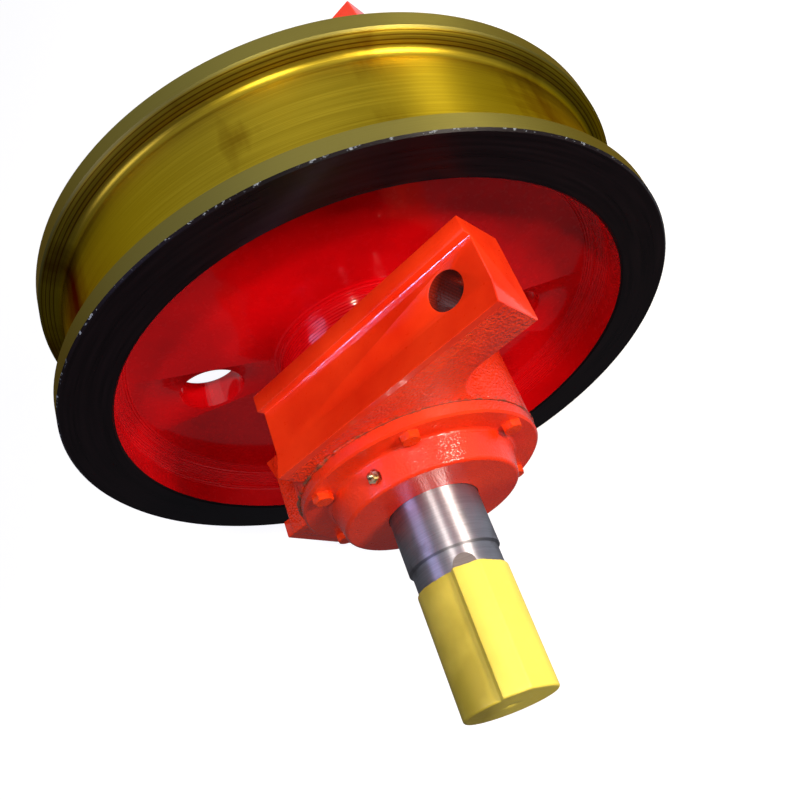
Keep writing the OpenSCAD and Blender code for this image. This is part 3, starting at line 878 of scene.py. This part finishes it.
def ridged(path: list[Point], pitch: float, depth: float, dice: random.Random) -> list[Point]:
    """Presses uneven tool rings into a section line, fading out at both ends.

    Args:
        path: Points of the line, close together.
        pitch: Mean distance between rings.
        depth: Height of the tallest ring.
        dice: Random source.

    Returns:
        The ringed line.
    """
    ringed = [path[0]]
    phase, strength = 0.0, dice.uniform(0.78, 1.0)
    for i in range(1, len(path) - 1):
        before, here, after = path[i - 1], path[i], path[i + 1]
        along = Vector((after[0] - before[0], after[1] - before[1])).normalized()
        phase += math.dist(before, here) / pitch
        if phase >= 1.0:
            phase -= 1.0
            strength = dice.uniform(0.75, 1.0)
        fade = min(1.0, 14 * i / len(path), 14 * (len(path) - 1 - i) / len(path))
        push = depth * strength * fade * math.sin(math.pi * phase) ** 2
        ringed.append((here[0] - along.y * push, here[1] + along.x * push))
    return ringed + [path[-1]]


@dataclass
class Wheel:
    """Double flanged wheel, turned from one casting, with ringed fillets and two web holes."""

    finishes: Finishes
    tread_r: float = 300 * MM
    flange_r: float = 320 * MM
    half_width: float = 75 * MM
    tip_w: float = 21 * MM
    root_w: float = 25 * MM
    tread_fillet: float = 9 * MM
    rim_r: float = 270 * MM
    rim_fillet: float = 20 * MM
    web_face: float = 27 * MM
    web_back: float = 8 * MM
    hub_r: float = 96 * MM
    hub_fillet: float = 11 * MM
    bore_r: float = 55.03 * MM
    chamfer: float = 2 * MM
    hole_r: float = 33 * MM
    hole_at: float = 172 * MM
    hole_turns: tuple[float, float] = (140.0, 310.0)
    hole_chamfer: float = 2 * MM
    key_half: float = 14.03 * MM
    key_top: float = 61.48 * MM
    segments: int = 200
    hub_pitch: float = 3.5 * MM
    rim_pitch: float = 2.9 * MM
    # The tool rings stand deeper than real ones, so that their glints show.
    ring_depth: float = 0.95 * MM
    rim_ring_depth: float = 0.76 * MM
    ring_step: float = 0.45 * MM
    hub_steps: int = 22
    rim_steps: int = 62
    rim_rings: int = 9
    root_steps: int = 10
    hole_steps: int = 72
    seed: int = 11

    def build(self) -> None:
        """Turns the wheel, cuts its holes and keyway, and paints its zones."""
        tree = turned_ring_tree()
        section = self._section()
        mesh = bpy.data.meshes.new("wheel_section")
        mesh.from_pydata([(r, y, 0.0) for r, y in section], [(i, i + 1) for i in range(len(section) - 1)], [])
        paints = [VarnishedSteel(), RimBlack(), RedEnamel()]
        finish = self.finishes.get(paints[0])
        ring = grow("wheel_ring", mesh, tree, {"Segments": self.segments, "Finish": finish})
        shade_smooth(ring, 40)
        cutters = [self._hole_cutter(tree, turn) for turn in self.hole_turns] + [self._key_cutter()]
        for cutter in cutters:
            cut = ring.modifiers.new("cut", "BOOLEAN")
            cut.operation = "DIFFERENCE"
            cut.solver = "EXACT"
            cut.object = cutter
        wheel = bake(ring, "wheel_turned")
        for cutter in cutters:
            bpy.data.objects.remove(cutter)
        self._paint(wheel, paints)
        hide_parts("wheel")
        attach(wheel, "rotor")
        LOG.info("%s: %d faces", wheel.name, len(wheel.data.polygons))

    def _section(self) -> list[Point]:
        """Draws the closed section, both halves, as radius and distance along the axle."""
        dice = random.Random(self.seed)
        c, w, hub, rim = self.chamfer, self.half_width, self.hub_fillet, self.rim_fillet
        root = (self.tread_r + self.tread_fillet, w - self.root_w - self.tread_fillet)
        half = []
        for web in (self.web_back, self.web_face):
            straight = int((w - c - web - hub) / self.ring_step)
            hub_line = [(self.hub_r, w - c - i * self.ring_step) for i in range(straight)]
            hub_line += arc((self.hub_r + hub, web + hub), hub, 180, 270, self.hub_steps)
            rim_line = arc((self.rim_r - rim, web + rim), rim, 270, 360, self.rim_steps)
            rim_line += [(self.rim_r, web + rim + i * self.ring_step) for i in range(1, self.rim_rings)]
            points = [(self.bore_r, w - c), (self.bore_r + c, w), (self.hub_r - c, w)]
            points += ridged(hub_line, self.hub_pitch, self.ring_depth, dice)
            points += ridged(rim_line, self.rim_pitch, self.rim_ring_depth, dice)
            points += [(self.rim_r, w - c), (self.rim_r + c, w)]
            points += [(self.flange_r - c, w), (self.flange_r, w - c)]
            points += [(self.flange_r, w - self.tip_w + c), (self.flange_r - c, w - self.tip_w)]
            points += arc(root, self.tread_fillet, 90, 180, self.root_steps)
            half.append(points)
        return half[0] + [(r, -y) for r, y in reversed(half[1])]

    def _hole_cutter(self, tree: Tree, turn: float) -> Piece:
        """Makes the tool that cuts one chamfered web hole."""
        r, c, over = self.hole_r, self.hole_chamfer, 2 * MM
        wide, front, rear = r + c + over, -self.web_face, self.web_back
        outline = [(0.0, front - over), (wide, front - over), (r, front + c)]
        outline += [(r, rear - c), (wide, rear + over), (0.0, rear + over)]
        mesh = bpy.data.meshes.new("hole_section")
        mesh.from_pydata([(x, y, 0.0) for x, y in outline], [], [])
        values = {"Segments": self.hole_steps, "Finish": self.finishes.get(RedEnamel())}
        cutter = grow("hole_cutter", mesh, tree, values)
        angle = math.radians(turn)
        centre = (self.hole_at * math.cos(angle), 0.0, self.hole_at * math.sin(angle))
        cutter.data.transform(Matrix.Translation(centre))
        shade_smooth(cutter, 40)
        return cutter

    def _key_cutter(self) -> Piece:
        """Makes the tool that cuts the keyway."""
        shape = bmesh.new()
        bmesh.ops.create_cube(shape, size=1.0)
        size = (2 * self.key_half, 2 * self.half_width + 4 * MM, self.key_top)
        bmesh.ops.transform(shape, matrix=Matrix.Diagonal((*size, 1.0)), verts=shape.verts)
        bmesh.ops.translate(shape, vec=(0.0, 0.0, self.key_top / 2), verts=shape.verts)
        mesh = bpy.data.meshes.new("key_cutter")
        shape.to_mesh(mesh)
        shape.free()
        return link("key_cutter", mesh)

    def _paint(self, wheel: Piece, paints: list[Finish]) -> None:
        """Gives each face the finish of its zone: tread, rim side, or web and hub."""
        wheel.data.materials.clear()
        for paint in paints:
            wheel.data.materials.append(self.finishes.get(paint))
        for face in wheel.data.polygons:
            zone = Zone.TREAD
            if math.hypot(face.center.x, face.center.z) < self.rim_r + 0.2 * MM:
                zone = Zone.WEB
            elif abs(face.center.y) > self.half_width - 1.5 * MM:
                zone = Zone.RIM_SIDE
            face.material_index = zone.value


@dataclass
class ShaftFilm:
    """Peelable covering over the drive end and its key, with a steep and a sloping flank."""

    finishes: Finishes
    outer_r: float = 44.5 * MM
    key_half: float = 13 * MM
    key_top: float = 49.8 * MM
    turn: float = 49.0
    start: float = 309 * MM
    end: float = 425 * MM
    wall: float = 1.9 * MM
    edge_round: float = 2.2 * MM
    lip: float = 1.0 * MM
    wobble: float = 1.3 * MM
    # Inset from the rim and depth of the dimpled end, in millimetres.
    end_dish: tuple[Point, ...] = (
        (6, 0.1), (14, 0.35), (24, 0.3), (33, 0.45), (38, 0.5), (40.5, 1.2), (41.6, 1.6),
    )
    steps: int = 288
    stations: int = 40

    def build(self) -> None:
        """Makes the covering as one closed wall."""
        outline = self._outline()
        film = link("shaft_film", wrap("shaft_film", [self._ring(outline, *at) for at in self._stations()]))
        shade_smooth(film, 46)
        film.data.materials.append(self.finishes.get(PeelFilm()))
        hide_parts("shaft_cap")
        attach(film, "rotor")
        LOG.info("%s: %d faces", film.name, len(film.data.polygons))

    def _outline(self) -> list[float]:
        """Finds the covering's radius at each angle about the key's middle."""
        edge = math.hypot(self.key_half, self.key_top)
        corner = math.atan2(self.key_top, self.key_half)
        slope_end = corner - math.acos(self.outer_r / edge)
        radii = []
        for i in range(self.steps):
            turn = math.tau * i / self.steps
            radius = self.outer_r
            if slope_end < turn <= corner:
                radius = self.outer_r / math.cos(turn - slope_end)
            elif corner < turn < math.pi - corner:
                radius = self.key_top / math.sin(turn)
            elif turn < math.pi and turn >= math.pi - corner:
                radius = max(self.outer_r, min(edge, self.key_half / -math.cos(turn)))
            radii.append(radius)
        after = radii[1:] + radii[:1]
        return [(radii[i - 1] + 2 * radii[i] + after[i]) / 4 for i in range(self.steps)]

    def _stations(self) -> list[Spot]:
        """Lists inset, distance along the axle and share of the uneven edge, from inside outwards."""
        lip = self.start + self.lip
        reach = self.end - self.edge_round - lip
        plan = [
            (self.wall, self.end - self.wall, 0.0),
            (self.wall, self.start + 0.4 * MM, 1.0),
            (self.wall * 0.4, self.start, 1.0),
            (0.15 * MM, self.start + 0.1 * MM, 1.0),
            (0.0, lip, 0.9),
        ]
        for i in range(1, self.stations):
            share = i / self.stations
            plan.append((0.0, lip + reach * share, max(0.0, 0.9 - 4 * share)))
        for inset, back in arc((self.edge_round, self.edge_round), self.edge_round, 180, 270, 6):
            plan.append((inset, self.end - back, 0.0))
        plan += [(inset * MM, self.end - dish * MM, 0.0) for inset, dish in self.end_dish]
        return plan

    def _ring(self, outline: list[float], inset: float, at: float, frill: float) -> list[Spot]:
        """Lists one ring of points at a distance along the axle."""
        ring = []
        for i, radius in enumerate(outline):
            turn = math.tau * i / self.steps
            angle = turn + math.radians(self.turn - 90)
            shrink = max(0.0, min(1.0, (inset - 2 * MM) / (20 * MM)))
            r = radius + (self.outer_r - radius) * shrink - inset
            way = Vector((math.cos(turn) * 2.2, math.sin(turn) * 2.2, 7.3))
            ragged = frill * self.wobble * (0.6 + 0.7 * noise.noise(way) + 0.35 * noise.noise(way * 4.1))
            ring.append((r * math.cos(angle), -(at + max(0.0, ragged)), r * math.sin(angle)))
        return ring


@dataclass
class Rotor:
    """The turning pieces that stay as they are: axle, keys and what is clamped on the axle."""

    frame: dict
    finishes: Finishes

    def build(self) -> None:
        """Dresses every turning node."""
        plan: dict[str, Finish] = {"axle": GROUND_STEEL, "wheel_key": KEY_STEEL, "drive_key": KEY_STEEL}
        for side in Side:
            plan[f"{side.value}_inner_ring"] = BEARING_STEEL
            for name in ("spacer", "lock_washer", "lock_nut"):
                plan[f"{side.value}_{name}"] = TURNED_STEEL
        for name, finish in plan.items():
            dress(self.frame["nodes"][name], self.finishes.get(finish))


@dataclass
class BearingBlock:
    """One standing block: box, bearing, covers, bolts, seals and nipple."""

    frame: dict
    finishes: Finishes
    side: Side
    edge_round: float = 1.1 * MM
    bolt_n: int = 6
    bolt_at: float = 107.5 * MM
    bolt_turn: float = 56.0
    bolt_af: float = 17 * MM
    head_h: float = 7 * MM
    shank_r: float = 5 * MM
    bolt_steps: int = 48
    cover_face: float = 203 * MM
    cover_grip: float = 33 * MM
    inner_face: float = 89 * MM
    inner_grip: float = 31 * MM
    bead_r: float = 121.6 * MM
    bead_at: float = 189.9 * MM
    bead_thick: float = 2.8 * MM
    bead_thin: float = 0.6 * MM
    bead_lump: float = 7 * MM

    def build(self, bolts: Tree, bead: Tree) -> None:
        """Dresses every node of the block and adds its rounded casting, bolts and bead.

        Args:
            bolts: Rule of the bolt circles.
            bead: Rule of the joint bead.
        """
        plan: dict[str, Finish] = {
            "cover": COVER_PAINT,
            "inner_cover": COVER_PAINT,
            "outer_ring": BEARING_STEEL,
            "rollers": BEARING_STEEL,
            "cage": CAGE_BRASS,
            "cover_gasket": GASKET_PAPER,
            "inner_gasket": GASKET_PAPER,
            "outer_felt": SEAL_FELT,
            "inner_felt": SEAL_FELT,
            "nipple": NIPPLE_BRASS,
        }
        for name, finish in plan.items():
            node = self.frame["nodes"].get(f"{self.side.value}_{name}")
            if node is not None:
                dress(node, self.finishes.get(finish))
        self._casting()
        self._bolt_circle(bolts, "cover_bolts", self.cover_face, self.cover_grip, Facing.OUTWARD)
        self._bolt_circle(bolts, "inner_bolts", self.inner_face, self.inner_grip, Facing.INWARD)
        self._bead(bead)

    @property
    def body(self) -> str:
        """Name of the body that the block's pieces ride on."""
        return self.side.value + "_block"

    def _settle(self, piece: Piece, slot: str, *nodes: str) -> None:
        """Fixes a finished piece to the block."""
        if nodes:
            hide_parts(*nodes)
        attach(piece, self.body)
        LOG.info("%s: %d faces", piece.name, len(piece.data.polygons))

    def _casting(self) -> None:
        """Makes the box with rounded edges from the frame's own solid."""
        node = self.frame["nodes"][self.side.value + "_housing"]
        shape = bmesh.new()
        shape.from_mesh(node.data)
        bmesh.ops.remove_doubles(shape, verts=shape.verts, dist=SAME_SPOT)
        bmesh.ops.dissolve_limit(shape, angle_limit=math.radians(0.6), verts=shape.verts, edges=shape.edges)
        mesh = bpy.data.meshes.new("casting")
        shape.to_mesh(mesh)
        shape.free()
        host = link("casting_host", mesh)
        edges = host.modifiers.new("edges", "BEVEL")
        edges.width = self.edge_round
        edges.segments = 2
        edges.limit_method = "ANGLE"
        edges.angle_limit = math.radians(30)
        edges.use_clamp_overlap = False
        casting = bake(host, self.side.value + "_box_casting")
        shade_smooth(casting, 28)
        casting.data.materials.clear()
        casting.data.materials.append(self.finishes.get(CAST_PAINT))
        self._settle(casting, "box_paint", self.side.value + "_housing")

    def _bolt(self, grip: float) -> Mesh:
        """Makes one hexagon bolt with a chamfered head, head upwards from its seat."""
        steps, flat = self.bolt_steps, self.bolt_af / 2
        crown = 0.94 * flat
        turns = [math.tau * i / steps for i in range(steps)]
        corners = [flat / math.cos(t % (math.pi / 3) - math.pi / 6) for t in turns]
        levels = [
            [(self.shank_r - 0.6 * MM, -grip)] * steps,
            [(self.shank_r, -grip + 0.6 * MM)] * steps,
            [(self.shank_r, 0.0)] * steps,
            [(r + 0.5 * MM, 0.0) for r in corners],
            [(r, 0.7 * MM) for r in corners],
            [(r, self.head_h - (r - crown) * math.tan(math.radians(30))) for r in corners],
            [(crown, self.head_h)] * steps,
        ]
        rings = []
        for level in levels:
            rings.append([(r * math.cos(t), r * math.sin(t), z) for (r, z), t in zip(level, turns)])
        return wrap("bolt", rings)

    def _bolt_circle(self, tree: Tree, name: str, face: float, grip: float, facing: Facing) -> None:
        """Sets one cover's bolts and stands the circle up on the axle."""
        towards = self.side.sign * facing.value
        values = {
            "Count": self.bolt_n,
            "Radius": self.bolt_at,
            "Turn": -towards * math.radians(self.bolt_turn),
            "Face": face * facing.value,
            "Seed": BOLT_SEEDS[self.side],
            "Finish": self.finishes.get(BOLT_PAINT),
        }
        piece = grow(f"{self.side.value}_{name}_hex", self._bolt(grip), tree, values)
        piece.data.transform(Matrix.Rotation(-towards * math.pi / 2, 4, "X"))
        shade_smooth(piece, 30)
        self._settle(piece, "bolt_paint", f"{self.side.value}_{name}")

    def _bead(self, tree: Tree) -> None:
        """Runs the painted sealing bead round the outer cover's joint."""
        values = {
            "Radius": self.bead_r,
            "Thickness": self.bead_thick,
            "Lump": self.bead_lump,
            "Thin": self.bead_thin,
            "Seed": BEAD_SEEDS[self.side],
            "Finish": self.finishes.get(SEALING_BEAD),
        }
        piece = grow(self.side.value + "_joint_bead", bpy.data.meshes.new("bead"), tree, values)
        upright = Matrix.Rotation(math.pi / 2, 4, "X")
        piece.data.transform(Matrix.Translation((0.0, self.side.sign * self.bead_at, 0.0)) @ upright)
        shade_smooth(piece, 60)
        self._settle(piece, "box_paint")


@dataclass
class Lamp:
    """A rectangular lamp, long across the axle, placed by the picture's right, up and back ways."""

    name: str
    aim: Spot
    distance: float
    size: tuple[float, float]
    power: float
    colour: str


@dataclass
class Studio:
    """Camera, floor, lamps and room of the picture."""

    eye: Vector = field(default_factory=lambda: Vector((0.4138, -0.5354, 0.6559)))
    right: Vector = field(default_factory=lambda: Vector((0.69556, -0.3268, -0.63984)))
    up: Vector = field(default_factory=lambda: Vector((0.55247, 0.8126, 0.18550)))
    back: Vector = field(default_factory=lambda: Vector((0.45933, -0.4825, 0.74579)))
    lens_mm: float = 38.68
    floor_z: float = -320.2 * MM
    floor_size: float = 400.0
    floor_colour: str = "#b9b8b6"
    floor_speck: str = "#b4b2b0"
    speck_size: float = 25 * MM
    floor_glow: float = 0.75
    room_colour: str = "#dfe4f0"
    room_dark: float = 0.09
    room_bright: float = 0.72
    room_seen: float = 1.0
    room_span: tuple[float, float] = (-0.5, 0.6)
    sky_strength: float = 0.16
    sky_angle: float = 40.0
    sky_from: Vector = field(default_factory=lambda: Vector((0.5, 0.5, 0.7)))
    lamps: tuple[Lamp, ...] = (
        Lamp("key", (0.58, 0.2, 0.78), 1.9, (0.45, 0.45), 36.0, "#fff1e0"),
        Lamp("top", (0.37, 0.89, 0.25), 1.8, (0.3, 0.3), 2.4, "#fff8ea"),
        Lamp("front", (0.0, 0.09, 1.0), 2.4, (0.14, 0.14), 23.0, "#fff6ea"),
        Lamp("window", (-0.65, -0.3, 0.7), 2.1, (0.9, 0.07), 11.0, "#c4c0ff"),
    )

    def build(self) -> None:
        """Makes the whole studio."""
        self._camera()
        self._floor()
        self._lamps()
        self._room()

    def _camera(self) -> None:
        """Places the camera where the picture was taken from."""
        data = bpy.data.cameras.new("studio_camera")
        data.lens = self.lens_mm
        data.sensor_width = 36.0
        data.clip_start = 0.01
        camera = bpy.data.objects.new("studio_camera", data)
        turn = Matrix((self.right, self.up, self.back)).transposed().to_4x4()
        camera.matrix_world = Matrix.Translation(self.eye) @ turn
        bpy.context.scene.collection.objects.link(camera)
        bpy.context.scene.camera = camera

    def _floor(self) -> None:
        """Lays a pale floor under the wheel."""
        mesh = bpy.data.meshes.new("floor")
        half = self.floor_size / 2
        corners = [(-half, -half), (half, -half), (half, half), (-half, half)]
        mesh.from_pydata([(x, y, self.floor_z) for x, y in corners], [], [(0, 1, 2, 3)])
        s = Surface("pale_floor")
        speck = s.put("TexNoise", {"Vector": s.place, "Scale": 1 / self.speck_size})
        tones = {0: speck, 6: linear(self.floor_colour), 7: linear(self.floor_speck)}
        paint = s.close(
            Base_Color=s.put("Mix", tones, 2, data_type="RGBA"),
            Roughness=0.9,
            Specular_IOR_Level=0.1,
            Emission_Color=linear("#ffffff"),
            Emission_Strength=self.floor_glow,
        )
        mesh.materials.append(paint)
        floor = link("floor", mesh)
        floor.visible_glossy = False
        floor.visible_diffuse = False

    def _lamps(self) -> None:
        """Hangs the lamps round the camera's view, and a wide soft one far above."""
        for lamp in self.lamps:
            way = (self.right * lamp.aim[0] + self.up * lamp.aim[1] + self.back * lamp.aim[2]).normalized()
            data = bpy.data.lights.new(lamp.name, "AREA")
            data.shape = "RECTANGLE"
            data.size, data.size_y = lamp.size
            data.energy = lamp.power
            data.color = linear(lamp.colour)[:3]
            light = bpy.data.objects.new(lamp.name, data)
            long_way = Vector((0.0, 1.0, 0.0)).cross(way).normalized()
            turn = Matrix((long_way, way.cross(long_way), way)).transposed().to_4x4()
            light.matrix_world = Matrix.Translation(way * lamp.distance) @ turn
            light.visible_camera = False
            bpy.context.scene.collection.objects.link(light)
        sky = bpy.data.lights.new("sky", "SUN")
        sky.energy = self.sky_strength
        sky.angle = math.radians(self.sky_angle)
        sky_lamp = bpy.data.objects.new("sky", sky)
        sky_lamp.rotation_euler = self.sky_from.to_track_quat("Z", "Y").to_euler()
        bpy.context.scene.collection.objects.link(sky_lamp)

    def _room(self) -> None:
        """Lights the room from a bright ceiling down to a dim floor, and shows it pale."""
        world = bpy.data.worlds.new("studio_room")
        world.use_nodes = True
        room = world.node_tree
        background = room.nodes["Background"]
        background.inputs["Color"].default_value = linear(self.room_colour)
        upward = {0: add(room, "ShaderNodeTexCoord"), 1: self.up}
        height = add(room, "ShaderNodeVectorMath", upward, "Value", operation="DOT_PRODUCT")
        dim, lit = self.room_span
        shade = {0: height, 1: dim, 2: lit, 3: self.room_dark, 4: self.room_bright}
        glow = add(room, "ShaderNodeMapRange", shade, interpolation_type="SMOOTHSTEP")
        seen = add(room, "ShaderNodeLightPath", out="Is Camera Ray")
        strength = add(room, "ShaderNodeMix", {0: seen, 2: glow, 3: self.room_seen}, data_type="FLOAT")
        room.links.new(strength, background.inputs["Strength"])
        bpy.context.scene.world = world
        bpy.context.scene.view_settings.view_transform = "Standard"


def main() -> None:
    """Loads the frame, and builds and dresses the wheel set."""
    logging.basicConfig(level=logging.INFO, format="%(message)s")
    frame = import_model()
    Studio().build()
    finishes = Finishes()
    Wheel(finishes).build()
    ShaftFilm(finishes).build()
    Rotor(frame, finishes).build()
    bolts, bead = bolt_circle_tree(), bead_tree()
    for side in Side:
        BearingBlock(frame, finishes, side).build(bolts, bead)


if __name__ == "__main__":
    main()
